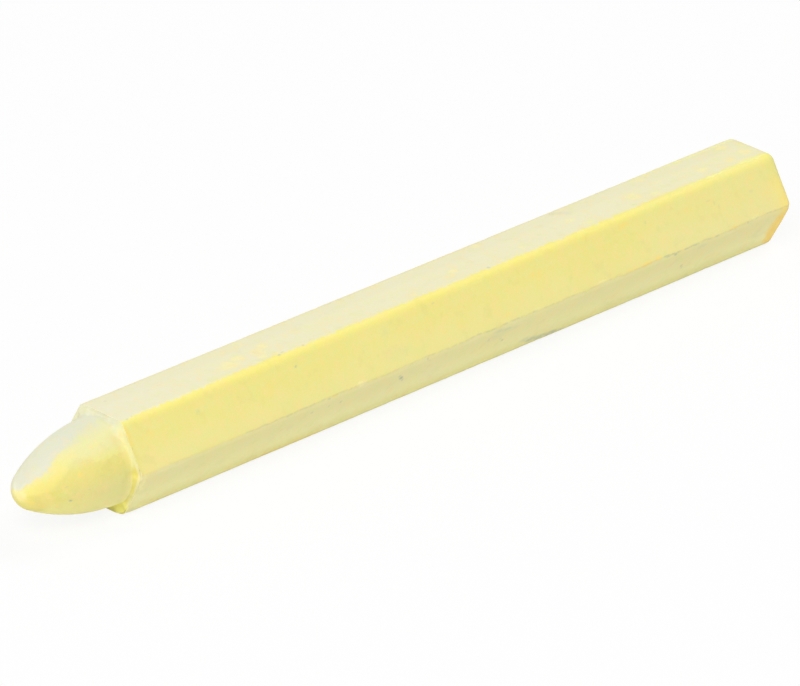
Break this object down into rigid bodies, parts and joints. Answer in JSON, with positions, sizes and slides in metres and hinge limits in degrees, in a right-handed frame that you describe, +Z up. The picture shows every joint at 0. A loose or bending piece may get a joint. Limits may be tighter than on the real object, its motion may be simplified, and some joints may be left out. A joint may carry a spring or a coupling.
{
  "type": "chalk stick",
  "caption": "Hexagonal marking chalk moulded in one piece, with rounded long edges, a bullet-shaped writing nose on a flat shoulder and a plain butt end.",
  "frame": {"origin": "on the surface that the stick lies on, under the middle of its length", "axes": "+X along the stick from the writing tip to the butt end, +Z up from the flat that it lies on, +Y across it"},
  "size_m": [0.12, 0.0136, 0.012],
  "materials": {
    "chalk": "matte"
  },
  "bodies": {
    "root": {"chalk_stick": "chalk"}
  },
  "joints": []
}
